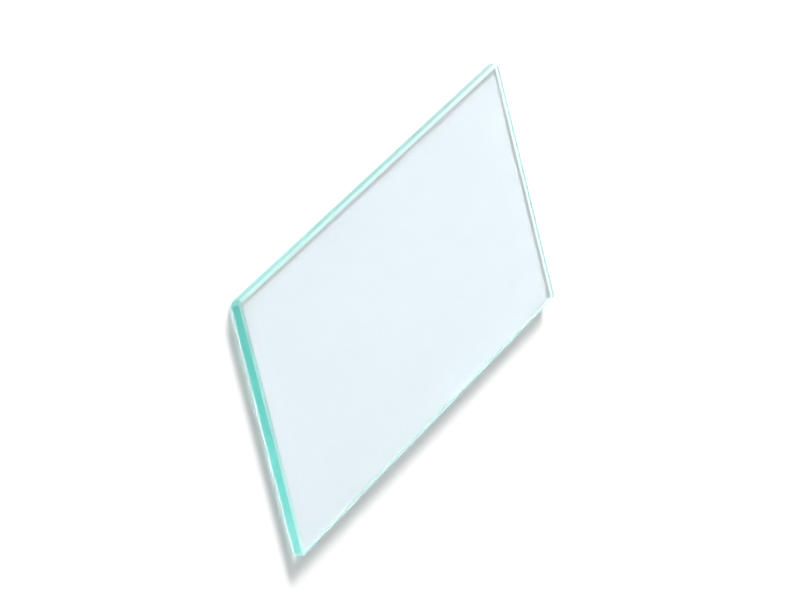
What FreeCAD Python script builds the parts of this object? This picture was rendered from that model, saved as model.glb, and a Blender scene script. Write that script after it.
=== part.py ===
"""Plain microscope slide: one plate of clear soda-lime glass with ground edges.

The slide lies on its underside. The origin is the middle of the underside, +X runs along
the length, +Y across the width and +Z up through the thickness. Sizes are in millimetres.

The model follows the way a slide is made. A sheet is scored and snapped to size, its four
corners are dubbed so that they don't cut a finger, and the cut edge is run along a wheel,
which leaves a flat band all the way round with a narrow seam above and below it.
"""

import FreeCAD
import Part

import os

# The finished plate, measured over its ground edges.
LENGTH = 76.2
WIDTH = 25.4
THICKNESS = 1.2

# What each corner loses along its two sides when it is dubbed.
CORNER_DUB = 0.4

# The seams lie at 45 degrees, so each takes this much off the polished face and as much
# off the edge.
SEAM = 0.25


def snapped_sheet():
    """The rectangle of sheet glass, still with sharp corners and edges."""
    corner = FreeCAD.Vector(-LENGTH / 2, -WIDTH / 2, 0)
    return Part.makeBox(LENGTH, WIDTH, THICKNESS, corner)


def stands_upright(edge):
    """True for an edge that runs through the thickness; the others lie flat, in a face."""
    return edge.BoundBox.ZLength > THICKNESS / 2


def with_dubbed_corners(plate):
    """The plate with a small flat across each of its four upright corners."""
    return plate.makeChamfer(CORNER_DUB, [e for e in plate.Edges if stands_upright(e)])


def with_ground_edges(plate):
    """The plate with a seam between each polished face and the band round its edge."""
    return plate.makeChamfer(SEAM, [e for e in plate.Edges if not stands_upright(e)])


def glass_slide():
    """The finished slide, lying on its underside."""
    return with_ground_edges(with_dubbed_corners(snapped_sheet()))


os.makedirs("parts", exist_ok=True)
glass_slide().exportStep("parts/glass_slide.step")
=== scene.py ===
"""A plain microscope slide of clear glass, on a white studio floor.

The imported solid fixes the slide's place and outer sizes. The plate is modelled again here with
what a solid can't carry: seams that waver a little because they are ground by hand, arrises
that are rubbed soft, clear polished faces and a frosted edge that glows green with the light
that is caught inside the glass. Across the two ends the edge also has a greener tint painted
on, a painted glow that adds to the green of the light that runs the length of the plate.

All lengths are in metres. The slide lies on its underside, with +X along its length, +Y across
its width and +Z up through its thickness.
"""

import logging
import math
from collections.abc import Callable, Iterator
from contextlib import contextmanager
from dataclasses import dataclass, field
from enum import Enum

import bmesh
import bpy
from mathutils import Matrix, Vector


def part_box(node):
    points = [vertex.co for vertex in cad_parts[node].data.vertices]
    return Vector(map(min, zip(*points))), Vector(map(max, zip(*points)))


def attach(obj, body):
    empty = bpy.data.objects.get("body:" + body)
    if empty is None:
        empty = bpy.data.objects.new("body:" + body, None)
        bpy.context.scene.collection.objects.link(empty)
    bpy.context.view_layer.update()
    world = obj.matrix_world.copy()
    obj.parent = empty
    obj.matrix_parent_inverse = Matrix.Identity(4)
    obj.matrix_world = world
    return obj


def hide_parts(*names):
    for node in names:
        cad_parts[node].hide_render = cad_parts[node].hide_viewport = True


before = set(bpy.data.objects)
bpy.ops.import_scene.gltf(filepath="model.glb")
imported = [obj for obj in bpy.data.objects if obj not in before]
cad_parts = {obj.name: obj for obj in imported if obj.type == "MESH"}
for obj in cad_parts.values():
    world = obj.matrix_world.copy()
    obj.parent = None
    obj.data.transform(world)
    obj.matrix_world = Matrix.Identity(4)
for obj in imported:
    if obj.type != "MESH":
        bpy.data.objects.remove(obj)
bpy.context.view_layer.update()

CAD_NODE = "glass_slide"
CAD_BODY = "root"

MILLIMETRE = 0.001
HAIR = 1e-6  # nothing that is placed is nearer to a plane than this without lying in it
NOISE_MIDDLE = 0.5  # the level round which a noise varies

# What the mesh holds for the glass to read: each face's surface, and the run of the ground edge.
SURFACE_MARK = "surface_mark"
GRINDING_MAP = "grinding_map"

Colour = tuple[float, float, float]

log = logging.getLogger("slide")


class Surface(Enum):
    """The surfaces of the glass, in the order that the material reads them.

    The band is ground alike all round, but across the two ends it is given a greener tint: a
    painted glow that stands in for the light that has run the whole length of the glass.
    """

    POLISHED = 0
    SEAM = 1
    SIDE_BAND = 2
    END_BAND_PAINTED_GLOW = 3

    @property
    def mark(self) -> float:
        """The number that marks a face, in the middle of this surface's share of 0 to 1."""
        return (self.value + 0.5) / len(Surface)

    @property
    def start(self) -> float:
        """Where this surface's share begins on a ramp from 0 to 1."""
        return self.value / len(Surface)


class Along(Enum):
    """A direction in the slide's own frame."""

    LENGTH = "X"
    WIDTH = "Y"
    THICKNESS = "Z"

    def of(self, place: Vector) -> float:
        """How far place lies along this direction."""
        return place["XYZ".index(self.value)]


# ---------------------------------------------------------------------------------------------
# The modelling bench
# ---------------------------------------------------------------------------------------------


@contextmanager
def edit_mode(piece: bpy.types.Object, element: str) -> Iterator[None]:
    """Opens a piece in edit mode with nothing selected, and closes it again.

    Args:
        piece: The mesh object to work on.
        element: What is picked in it: "VERT", "EDGE" or "FACE".

    Yields:
        Nothing, while the piece is open.
    """
    bpy.ops.object.select_all(action="DESELECT")
    piece.select_set(True)
    bpy.context.view_layer.objects.active = piece
    bpy.ops.object.mode_set(mode="EDIT")
    bpy.ops.mesh.select_mode(type=element)
    bpy.ops.mesh.select_all(action="DESELECT")
    yield
    bpy.ops.object.mode_set(mode="OBJECT")


def pick_edges(piece: bpy.types.Object, wanted: Callable[[bmesh.types.BMEdge], bool]) -> None:
    """Selects just the edges that wanted accepts.

    Args:
        piece: The mesh object, open in edit mode.
        wanted: Says of one edge whether it is picked.
    """
    mesh = bmesh.from_edit_mesh(piece.data)
    for edge in mesh.edges:
        edge.select_set(wanted(edge))
    mesh.select_flush_mode()
    bmesh.update_edit_mesh(piece.data)


def runs(edge: bmesh.types.BMEdge, way: Along) -> bool:
    """True if an edge lies straight along one direction."""
    span = edge.verts[1].co - edge.verts[0].co
    return abs(abs(way.of(span)) - span.length) < HAIR


def turns(edge: bmesh.types.BMEdge, least: float) -> bool:
    """True if the surface turns by more than least, in degrees, across an edge."""
    return edge.calc_face_angle(0.0) > math.radians(least)


# ---------------------------------------------------------------------------------------------
# Materials
# ---------------------------------------------------------------------------------------------


class NodeBench:
    """A material's or world's node tree, with short names for adding and joining nodes."""

    # The sockets of a Mix node that mixes colours, which share their names with other sockets.
    MIX_FACTOR = 0
    MIX_FIRST = 6
    MIX_SECOND = 7
    MIX_RESULT = 2

    def __init__(self, owner: bpy.types.Material | bpy.types.World) -> None:
        """Turns nodes on for owner and takes its tree."""
        owner.use_nodes = True
        self.tree = owner.node_tree

    def existing(self, name: str) -> bpy.types.Node:
        """The node that a new material or world already has under this name."""
        return self.tree.nodes[name]

    def add(self, kind: str, **settings: object) -> bpy.types.Node:
        """Adds a node.

        Args:
            kind: The node's type, without the leading "ShaderNode".
            settings: The node's own properties by name.

        Returns:
            The new node.
        """
        node = self.tree.nodes.new("ShaderNode" + kind)
        for name, value in settings.items():
            setattr(node, name, value)
        return node

    def join(self, source: bpy.types.NodeSocket, target: bpy.types.NodeSocket) -> None:
        """Links one socket to another."""
        self.tree.links.new(source, target)

    def feed(
        self, target: bpy.types.NodeSocket, value: bpy.types.NodeSocket | Colour | float
    ) -> None:
        """Gives an input its value.

        Args:
            target: The input.
            value: The socket that it is linked to, or the colour or number that it holds.
        """
        if isinstance(value, bpy.types.NodeSocket):
            self.join(value, target)
        elif isinstance(value, tuple):
            target.default_value = (*value, 1.0)
        else:
            target.default_value = value

    def maths(self, operation: str, *values: bpy.types.NodeSocket | float) -> bpy.types.NodeSocket:
        """Adds a Math node.

        Args:
            operation: The sum that it does.
            values: Its inputs in order, each a socket or a number.

        Returns:
            The result's socket.
        """
        node = self.add("Math", operation=operation)
        for target, value in zip(node.inputs, values):
            self.feed(target, value)
        return node.outputs["Value"]

    def mix(
        self,
        factor: bpy.types.NodeSocket,
        first: bpy.types.NodeSocket | Colour,
        second: bpy.types.NodeSocket | Colour,
        blend: str = "MIX",
    ) -> bpy.types.NodeSocket:
        """Adds a Mix node for colours.

        Args:
            factor: How far the second colour counts.
            first: The first colour.
            second: The second colour.
            blend: How the second is laid over the first.

        Returns:
            The result's socket.
        """
        node = self.add("Mix", data_type="RGBA", blend_type=blend)
        self.feed(node.inputs[self.MIX_FACTOR], factor)
        self.feed(node.inputs[self.MIX_FIRST], first)
        self.feed(node.inputs[self.MIX_SECOND], second)
        return node.outputs[self.MIX_RESULT]

    def ramp(
        self, position: bpy.types.NodeSocket, stops: list[tuple[float, Colour]], stepped: bool
    ) -> bpy.types.NodeSocket:
        """Adds a ramp of colours.

        Args:
            position: What chooses the place on the ramp.
            stops: Places from 0 to 1 and the colours there, in order.
            stepped: Whether each colour holds up to the next one, or runs into it.

        Returns:
            The colour's socket.
        """
        node = self.add("ValToRGB")
        node.color_ramp.interpolation = "CONSTANT" if stepped else "LINEAR"
        elements = node.color_ramp.elements
        while len(elements) < len(stops):
            elements.new(1.0)
        for element, (place, colour) in zip(elements, stops):
            element.position = place
            element.color = (*colour, 1.0)
        self.join(position, node.inputs["Fac"])
        return node.outputs["Color"]


def grey(level: float) -> Colour:
    """A neutral colour of one level."""
    return (level, level, level)


@dataclass(frozen=True)
class SurfaceFinish:
    """How one kind of surface on the glass handles light.

    Attributes:
        roughness: How far it spreads the light that it passes and reflects.
        clarity: The share of light that passes. The rest scatters from the surface.
        tint: The colour that the surface gives to what passes it.
    """

    roughness: float
    clarity: float
    tint: Colour


@dataclass(frozen=True)
class GrindingMarks:
    """What the grinding wheel leaves on the seams and the band.

    Attributes:
        length: How long a scratch is, along the edge.
        pitch: How far apart scratches are, across the edge.
        layers: How many layers of finer scratches lie over the coarsest.
        depth: How deep the scratches look.
        patchiness: How far roughness varies between scratches.
        drift: How far apart paler and darker stretches of the edge are.
        drift_layers: How many layers of shorter stretches lie over the longest.
        shade: How much darker the darkest stretches are.
    """

    length: float = 3.0 * MILLIMETRE
    pitch: float = 0.09 * MILLIMETRE
    layers: float = 3.0
    depth: float = 0.004 * MILLIMETRE
    patchiness: float = 0.12
    drift: float = 6.0 * MILLIMETRE
    drift_layers: float = 2.0
    shade: float = 0.08


@dataclass(frozen=True)
class ClearGlass:
    """Soda-lime glass: water-white through its thickness, green through its length.

    Attributes:
        name: The material's name.
        refraction: The index of refraction.
        absorption: What the glass takes from red, green and blue, per metre of its own depth.
        finishes: How each kind of surface handles light.
        marks: What grinding leaves on the seams and the band.
    """

    name: str = "clear_soda_lime_glass"
    refraction: float = 1.52
    absorption: Colour = (14.0, 3.8, 4.8)
    finishes: dict[Surface, SurfaceFinish] = field(
        default_factory=lambda: {
            Surface.POLISHED: SurfaceFinish(0.0, 1.0, (0.931, 0.970, 0.997)),
            Surface.SEAM: SurfaceFinish(0.95, 0.8, (0.95, 0.97, 0.97)),
            Surface.SIDE_BAND: SurfaceFinish(0.8, 0.9, (0.54, 0.65, 0.66)),
            # painted glow: the ends' greener tint stands in for light that has run the length of the
            # glass
            Surface.END_BAND_PAINTED_GLOW: SurfaceFinish(0.8, 0.9, (0.21, 0.63, 0.59)),
        }
    )
    marks: GrindingMarks = GrindingMarks()

    def made(self) -> bpy.types.Material:
        """Builds the material.

        Returns:
            Glass that reads the slide's surface marks and its map of the ground edge.
        """
        material = bpy.data.materials.new(self.name)
        bench = NodeBench(material)
        shader = bench.existing("Principled BSDF")
        shader.inputs["IOR"].default_value = self.refraction
        mark = bench.add("Attribute", attribute_name=SURFACE_MARK).outputs["Fac"]
        ground = bench.maths("GREATER_THAN", mark, Surface.SEAM.start)
        scratches = self._scratches(bench)
        self._dress_colour(bench, shader, mark, ground)
        self._dress_roughness(bench, shader, mark, ground, scratches)
        clarity = self._by_surface(bench, mark, lambda finish: grey(finish.clarity))
        bench.join(clarity, shader.inputs["Transmission Weight"])
        bump = bench.add("Bump")
        bump.inputs["Strength"].default_value = 1.0
        bump.inputs["Distance"].default_value = self.marks.depth
        bench.join(bench.maths("MULTIPLY", scratches, ground), bump.inputs["Height"])
        bench.join(bump.outputs["Normal"], shader.inputs["Normal"])
        self._fill(bench)
        return material

    def _by_surface(
        self,
        bench: NodeBench,
        mark: bpy.types.NodeSocket,
        trait: Callable[[SurfaceFinish], Colour],
    ) -> bpy.types.NodeSocket:
        """Picks one trait of the finishes by the mark on each face.

        Args:
            bench: The material's node tree.
            mark: The face's mark.
            trait: Gives the trait of one finish, as a colour.

        Returns:
            The trait's socket.
        """
        stops = [(surface.start, trait(self.finishes[surface])) for surface in Surface]
        return bench.ramp(mark, stops, stepped=True)

    def _scratches(self, bench: NodeBench) -> bpy.types.NodeSocket:
        """Lays fine scratches along the ground edge.

        Args:
            bench: The material's node tree.

        Returns:
            The scratches' height, from 0 to 1.
        """
        place = bench.add("UVMap", uv_map=GRINDING_MAP)
        stretch = bench.add("Mapping")
        stretch.inputs["Scale"].default_value = (1 / self.marks.length, 1 / self.marks.pitch, 1.0)
        noise = bench.add("TexNoise", noise_dimensions="2D")
        noise.inputs["Scale"].default_value = 1.0
        noise.inputs["Detail"].default_value = self.marks.layers
        bench.join(place.outputs["UV"], stretch.inputs["Vector"])
        bench.join(stretch.outputs["Vector"], noise.inputs["Vector"])
        return noise.outputs["Fac"]

    def _dress_colour(
        self,
        bench: NodeBench,
        shader: bpy.types.Node,
        mark: bpy.types.NodeSocket,
        ground: bpy.types.NodeSocket,
    ) -> None:
        """Tints each surface, with slightly paler and darker stretches along the ground edge.

        Args:
            bench: The material's node tree.
            shader: The node that shades the glass.
            mark: The face's mark.
            ground: 1 on the seams and the band, 0 on the polished faces.
        """
        noise = bench.add("TexNoise")
        noise.inputs["Scale"].default_value = 1 / self.marks.drift
        noise.inputs["Detail"].default_value = self.marks.drift_layers
        bench.join(bench.add("TexCoord").outputs["Object"], noise.inputs["Vector"])
        shade = bench.maths("MULTIPLY", ground, self.marks.shade)
        # the greener tint of the band across the ends is painted glow
        tint = self._by_surface(bench, mark, lambda finish: finish.tint)
        colour = bench.mix(shade, tint, noise.outputs["Fac"], blend="MULTIPLY")
        bench.join(colour, shader.inputs["Base Color"])

    def _dress_roughness(
        self,
        bench: NodeBench,
        shader: bpy.types.Node,
        mark: bpy.types.NodeSocket,
        ground: bpy.types.NodeSocket,
        scratches: bpy.types.NodeSocket,
    ) -> None:
        """Roughens the seams and the band, unevenly from scratch to scratch.

        Args:
            bench: The material's node tree.
            shader: The node that shades the glass.
            mark: The face's mark.
            ground: 1 on the seams and the band, 0 on the polished faces.
            scratches: The scratches' height, from 0 to 1.
        """
        level = self._by_surface(bench, mark, lambda finish: grey(finish.roughness))
        uneven = bench.maths("SUBTRACT", scratches, NOISE_MIDDLE)
        spread = bench.maths("MULTIPLY", ground, self.marks.patchiness)
        roughness = bench.maths("MULTIPLY_ADD", uneven, spread, level)
        bench.join(roughness, shader.inputs["Roughness"])

    def _fill(self, bench: NodeBench) -> None:
        """Colours the depth of the glass, so that long paths through it turn green.

        Args:
            bench: The material's node tree.
        """
        density = max(self.absorption)
        depth = bench.add("VolumeAbsorption")
        depth.inputs["Density"].default_value = density
        depth.inputs["Color"].default_value = (*(1 - a / density for a in self.absorption), 1.0)
        bench.join(depth.outputs["Volume"], bench.existing("Material Output").inputs["Volume"])


# ---------------------------------------------------------------------------------------------
# The slide
# ---------------------------------------------------------------------------------------------


@dataclass
class SlidePlate:
    """One plate of glass with a ground edge all round.

    Every face is left flat. Smooth shading would bend the light that only passes through an
    edge, and the colour of the glass would no longer stop at its surface.

    Attributes:
        low: The lowest corner of the space it fills.
        high: The highest corner of that space.
        corner_dub: What each corner loses along its two sides.
        seam: What each seam takes off the polished face, and off the edge.
        arris: How far the sharp lines between surfaces are rubbed back.
        station: How far apart the cross cuts are that let the seams waver.
        waver: How far a seam strays from its line.
        waver_length: How far it runs before it strays the other way.
        glass: What it is made of.
    """

    # The least turn, in degrees, across a sharp edge of the sheet and across an arris.
    EDGE_TURN = 60.0
    ARRIS_TURN = 25.0

    # How much of a face's normal points up or down on a polished face and on a seam, and how
    # much points along the slide on the band across an end, at the least.
    POLISHED_UPWARD = 0.9999
    SEAM_UPWARD = 0.35
    END_LENGTHWISE = 0.9

    low: Vector
    high: Vector
    corner_dub: float = 0.4 * MILLIMETRE
    seam: float = 0.25 * MILLIMETRE
    arris: float = 0.03 * MILLIMETRE
    station: float = 1.0 * MILLIMETRE
    waver: float = 0.01 * MILLIMETRE
    waver_length: float = 5.0 * MILLIMETRE
    glass: ClearGlass = ClearGlass()

    @property
    def size(self) -> Vector:
        """Length, width and thickness."""
        return self.high - self.low

    @property
    def middle(self) -> Vector:
        """The middle of the glass."""
        return (self.high + self.low) / 2

    def inset(self, place: Vector, way: Along) -> float:
        """How far place lies inside the nearer end of the slide, along one direction."""
        return way.of(self.size) / 2 - abs(way.of(place - self.middle))

    def build(self) -> bpy.types.Object:
        """Models and dresses the slide.

        Returns:
            The finished piece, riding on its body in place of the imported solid.
        """
        piece = self._cut_sheet()
        self._score_stations(piece)
        self._dub_corners(piece)
        self._grind_seams(piece)
        self._let_seams_waver(piece)
        self._rub_arrises(piece)
        self._mark_surfaces(piece)
        self._lay_grinding_map(piece)
        piece.data.materials.append(self.glass.made())
        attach(piece, CAD_BODY)
        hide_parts(CAD_NODE)
        return piece

    def _cut_sheet(self) -> bpy.types.Object:
        """Cuts a plain rectangle of sheet glass.

        Returns:
            The new piece, with its place and size in its mesh.
        """
        bpy.ops.object.select_all(action="DESELECT")
        bpy.ops.mesh.primitive_cube_add(size=1.0, location=self.middle)
        piece = bpy.context.object
        piece.name = "slide_plate"
        piece.data.name = "slide_plate"
        piece.scale = self.size
        bpy.ops.object.transform_apply(location=True, rotation=True, scale=True)
        return piece

    def _score_stations(self, piece: bpy.types.Object) -> None:
        """Divides the sheet along its length and across its width, a station apart.

        Args:
            piece: The plate.
        """
        for way in (Along.LENGTH, Along.WIDTH):
            cuts = round(way.of(self.size) / self.station) - 1
            with edit_mode(piece, "EDGE"):
                pick_edges(piece, lambda edge: runs(edge, way))
                bpy.ops.mesh.subdivide(number_cuts=cuts)

    def _dub_corners(self, piece: bpy.types.Object) -> None:
        """Takes a small flat off each of the four upright corners.

        Args:
            piece: The plate.
        """
        with edit_mode(piece, "EDGE"):
            pick_edges(
                piece, lambda edge: runs(edge, Along.THICKNESS) and turns(edge, self.EDGE_TURN)
            )
            bpy.ops.mesh.bevel(offset=self.corner_dub, segments=1, affect="EDGES")

    def _grind_seams(self, piece: bpy.types.Object) -> None:
        """Grinds a seam along the rim of each polished face, corners included.

        Args:
            piece: The plate.
        """
        with edit_mode(piece, "EDGE"):
            pick_edges(
                piece, lambda edge: turns(edge, self.EDGE_TURN) and not runs(edge, Along.THICKNESS)
            )
            bpy.ops.mesh.bevel(offset=self.seam, segments=1, affect="EDGES")

    def _let_seams_waver(self, piece: bpy.types.Object) -> None:
        """Moves the lines of the seams a little in and out, within the surfaces they bound.

        Args:
            piece: The plate.
        """
        hand = bpy.data.textures.new("unsteady_hand", "CLOUDS")
        hand.noise_scale = self.waver_length
        lines = {
            Along.WIDTH: lambda place: self._on_face_line(place, Along.WIDTH, Along.LENGTH),
            Along.LENGTH: lambda place: self._on_face_line(place, Along.LENGTH, Along.WIDTH),
            Along.THICKNESS: self._on_band_line,
        }
        for way, on_this_line in lines.items():
            group = piece.vertex_groups.new(name=f"seam_line_{way.name.lower()}")
            picked = [v.index for v in piece.data.vertices if on_this_line(v.co)]
            group.add(picked, 1.0, "REPLACE")
            stray = piece.modifiers.new(group.name, "DISPLACE")
            stray.texture = hand
            stray.texture_coords = "LOCAL"
            stray.direction = way.value
            stray.mid_level = NOISE_MIDDLE
            stray.strength = 2 * self.waver
            stray.vertex_group = group.name
        for stray in list(piece.modifiers):
            bpy.ops.object.modifier_apply(modifier=stray.name)
        piece.vertex_groups.clear()
        bpy.data.textures.remove(hand)

    def _on_face_line(self, place: Vector, across: Along, along: Along) -> bool:
        """Tells whether a point lies on a line between a polished face and a seam.

        Args:
            place: The point.
            across: The direction in which the line is set back from the edge.
            along: The direction in which the line runs.

        Returns:
            True on the line, apart from its two ends, which stay put at the corners.
        """
        return (
            self.inset(place, Along.THICKNESS) < HAIR
            and abs(self.inset(place, across) - self.seam) < HAIR
            and self.inset(place, along) > self.corner_dub + self.station
        )

    def _on_band_line(self, place: Vector) -> bool:
        """True for a point on a line between a seam and the band."""
        return abs(self.inset(place, Along.THICKNESS) - self.seam) < HAIR

    def _rub_arrises(self, piece: bpy.types.Object) -> None:
        """Rounds the lines where two surfaces meet.

        Args:
            piece: The plate.
        """
        with edit_mode(piece, "EDGE"):
            pick_edges(piece, lambda edge: turns(edge, self.ARRIS_TURN))
            bpy.ops.mesh.bevel(offset=self.arris, segments=2, affect="EDGES")

    def _surface(self, normal: Vector) -> Surface:
        """Tells a surface by the way it faces.

        Args:
            normal: The way that a face points.

        Returns:
            The polished face, a seam, or the band along a side or across an end.
        """
        upward = abs(normal.z)
        if upward > self.POLISHED_UPWARD:
            return Surface.POLISHED
        if upward > self.SEAM_UPWARD:
            return Surface.SEAM
        return Surface.END_BAND_PAINTED_GLOW if abs(normal.x) > self.END_LENGTHWISE else Surface.SIDE_BAND

    def _mark_surfaces(self, piece: bpy.types.Object) -> None:
        """Gives each face the mark of its surface, for the material.

        Args:
            piece: The plate.
        """
        marks = piece.data.attributes.new(SURFACE_MARK, "FLOAT", "FACE")
        for face, mark in zip(piece.data.polygons, marks.data):
            mark.value = self._surface(face.normal).mark

    def _lay_grinding_map(self, piece: bpy.types.Object) -> None:
        """Maps the edge as the wheel runs along it: across the map is along the edge.

        Args:
            piece: The plate.
        """
        mesh = piece.data
        uv = mesh.uv_layers.new(name=GRINDING_MAP)
        for face in mesh.polygons:
            end = abs(face.normal.x) > abs(face.normal.y)
            way = Along.WIDTH if end else Along.LENGTH
            for corner in face.loop_indices:
                place = mesh.vertices[mesh.loops[corner].vertex_index].co
                uv.data[corner].uv = (way.of(place), place.z)


# ---------------------------------------------------------------------------------------------
# The studio
# ---------------------------------------------------------------------------------------------


def direction(heading: float, elevation: float) -> Vector:
    """A direction from two angles.

    Args:
        heading: Degrees from +X towards +Y.
        elevation: Degrees above the table.

    Returns:
        The direction, one unit long.
    """
    turn, lift = math.radians(heading), math.radians(elevation)
    return Vector((math.cos(lift) * math.cos(turn), math.cos(lift) * math.sin(turn), math.sin(lift)))


def seen_directly(bench: NodeBench) -> bpy.types.NodeSocket:
    """Tells what is looked at from what only lights the object.

    Args:
        bench: The node tree of the floor.

    Returns:
        1 for the camera, for mirror images and through glass, and 0 otherwise.
    """
    path = bench.add("LightPath")
    mirrored = bench.maths("MAXIMUM", path.outputs["Is Camera Ray"], path.outputs["Is Glossy Ray"])
    return bench.maths("MAXIMUM", mirrored, path.outputs["Is Transmission Ray"])


@dataclass(frozen=True)
class StudioFloor:
    """A plain pale floor just under the slide.

    Attributes:
        width: Its length and width.
        gap: How far it lies below the slide, so that the two surfaces don't coincide.
        bounce: How pale it is to the light that it sends back.
        shown: How pale it looks where it is seen directly.
    """

    width: float = 4.0
    gap: float = 0.03 * MILLIMETRE
    bounce: float = 0.80
    shown: float = 1.0

    def build(self, height: float) -> bpy.types.Object:
        """Lays the floor.

        Args:
            height: The height of the slide's underside.

        Returns:
            The floor, which isn't part of the slide.
        """
        bpy.ops.object.select_all(action="DESELECT")
        bpy.ops.mesh.primitive_plane_add(size=self.width, location=(0.0, 0.0, height - self.gap))
        floor = bpy.context.object
        floor.name = "studio_floor"
        floor.data.materials.append(self._paper())
        return floor

    def _paper(self) -> bpy.types.Material:
        """Matt white paper.

        Returns:
            A material that keeps the slide's shadow.
        """
        material = bpy.data.materials.new("matt_white_paper")
        bench = NodeBench(material)
        shader = bench.existing("Principled BSDF")
        shader.inputs["Roughness"].default_value = 1.0
        shader.inputs["Specular IOR Level"].default_value = 0.0
        tone = bench.mix(seen_directly(bench), grey(self.bounce), grey(self.shown))
        bench.join(tone, shader.inputs["Base Color"])
        return material


@dataclass(frozen=True)
class StudioSky:
    """The room round the table: pale walls under a dim ceiling.

    Attributes:
        horizon: The brightness at the level of the table.
        wall_top: The brightness where the walls end.
        wall_height: Where they end, as the sine of the angle above the table.
        zenith: The brightness straight overhead.
    """

    horizon: float = 1.0
    wall_top: float = 0.9
    wall_height: float = 0.4
    zenith: float = 0.1

    def build(self) -> None:
        """Surrounds the scene with the room's light."""
        world = bpy.data.worlds.new("studio_room")
        bpy.context.scene.world = world
        bench = NodeBench(world)
        looking = bench.add("TexCoord").outputs["Generated"]
        parts = bench.add("SeparateXYZ")
        bench.join(looking, parts.inputs["Vector"])
        stops = [
            (0.0, grey(self.horizon)),
            (self.wall_height, grey(self.wall_top)),
            (1.0, grey(self.zenith)),
        ]
        light = bench.ramp(parts.outputs["Z"], stops, stepped=False)
        bench.join(light, bench.existing("Background").inputs["Color"])


@dataclass(frozen=True)
class StripLamp:
    """A long soft box beyond the slide's far corner, held low.

    Light that enters the far end runs the length of the plate and comes out green at the near
    end, and the shadow falls on the near side of the slide.

    Attributes:
        heading: Where it stands, in degrees from +X towards +Y.
        elevation: How high it stands, in degrees above the table.
        distance: How far it is from the slide.
        length: How long the box is.
        height: How high the box is.
        power: How strong it is, in watts.
    """

    heading: float = 42.0
    elevation: float = 20.0
    distance: float = 1.1
    length: float = 0.6
    height: float = 0.2
    power: float = 22.5

    def build(self, target: Vector) -> bpy.types.Object:
        """Hangs the lamp and turns it to the slide.

        Args:
            target: What it points at.

        Returns:
            The lamp.
        """
        lamp = bpy.data.lights.new("strip_lamp", "AREA")
        lamp.shape = "RECTANGLE"
        lamp.size = self.length
        lamp.size_y = self.height
        lamp.energy = self.power
        stand = bpy.data.objects.new("strip_lamp", lamp)
        bpy.context.scene.collection.objects.link(stand)
        away = direction(self.heading, self.elevation)
        stand.location = target + away * self.distance
        stand.rotation_euler = away.to_track_quat("Z", "Y").to_euler()
        stand.visible_glossy = False  # its mirror image would burn the polished face out
        return stand


@dataclass(frozen=True)
class StudioCamera:
    """A long lens near the slide's green end, turned on its side so that the slide stands tall.

    Attributes:
        heading: Where it stands, in degrees from +X towards +Y.
        elevation: How far it looks down, in degrees.
        roll: How far it is turned about its own line of sight, in degrees.
        distance: How far it is from the slide.
        film: How wide its film is, in millimetres.
        lens: Its focal length, in millimetres.
        nearest: The nearest that it sees.
    """

    heading: float = 164.28
    elevation: float = 22.31
    roll: float = 82.13
    distance: float = 0.766
    film: float = 36.0
    lens: float = 354.0
    nearest: float = 0.01

    def build(self, target: Vector) -> bpy.types.Object:
        """Sets the camera up.

        Args:
            target: What it looks at.

        Returns:
            The camera, which the scene then uses.
        """
        camera = bpy.data.cameras.new("studio_camera")
        camera.sensor_width = self.film
        camera.lens = self.lens
        camera.clip_start = self.nearest
        stand = bpy.data.objects.new("studio_camera", camera)
        bpy.context.scene.collection.objects.link(stand)
        away = direction(self.heading, self.elevation)
        level = away.to_track_quat("Z", "Y").to_matrix()
        roll = Matrix.Rotation(math.radians(self.roll), 3, "Z")
        stand.location = target + away * self.distance
        stand.rotation_euler = (level @ roll).to_euler()
        bpy.context.scene.camera = stand
        return stand


@dataclass(frozen=True)
class LightInGlass:
    """How far light is followed through the glass.

    Attributes:
        bounces: How many times a ray may turn. The glow of the edge is light that has run the
            length of the plate between its two faces, which takes dozens of turns.
        strongest: The most that one ray may bring after its first turn, as a multiple of white.
            The lamp stays below it, and stray specks don't.
    """

    bounces: int = 48
    strongest: float = 100.0

    def apply(self) -> None:
        """Sets the scene's light paths and its plain colours."""
        scene = bpy.context.scene
        scene.view_settings.view_transform = "Standard"
        scene.cycles.max_bounces = self.bounces
        scene.cycles.transmission_bounces = self.bounces
        scene.cycles.glossy_bounces = self.bounces
        scene.cycles.blur_glossy = 0.0  # light that has crossed the plate lights the floor too
        scene.cycles.sample_clamp_indirect = self.strongest


def main() -> None:
    """Builds the slide and its studio, and reports each piece."""
    logging.basicConfig(level=logging.INFO, format="%(name)s: %(message)s")
    low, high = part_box(CAD_NODE)
    plate = SlidePlate(low, high)
    piece = plate.build()
    log.info(
        "%s, %.1f by %.1f by %.1f mm, %d faces",
        piece.name,
        *(side / MILLIMETRE for side in plate.size),
        len(piece.data.polygons),
    )
    floor = StudioFloor().build(low.z)
    log.info("%s, %.1f m across", floor.name, floor.dimensions.x)
    StudioSky().build()
    lamp = StripLamp().build(plate.middle)
    log.info("%s, %.1f W", lamp.name, lamp.data.energy)
    camera = StudioCamera().build(plate.middle)
    log.info("%s, %.0f mm lens", camera.name, camera.data.lens)
    LightInGlass().apply()


if __name__ == "__main__":
    main()
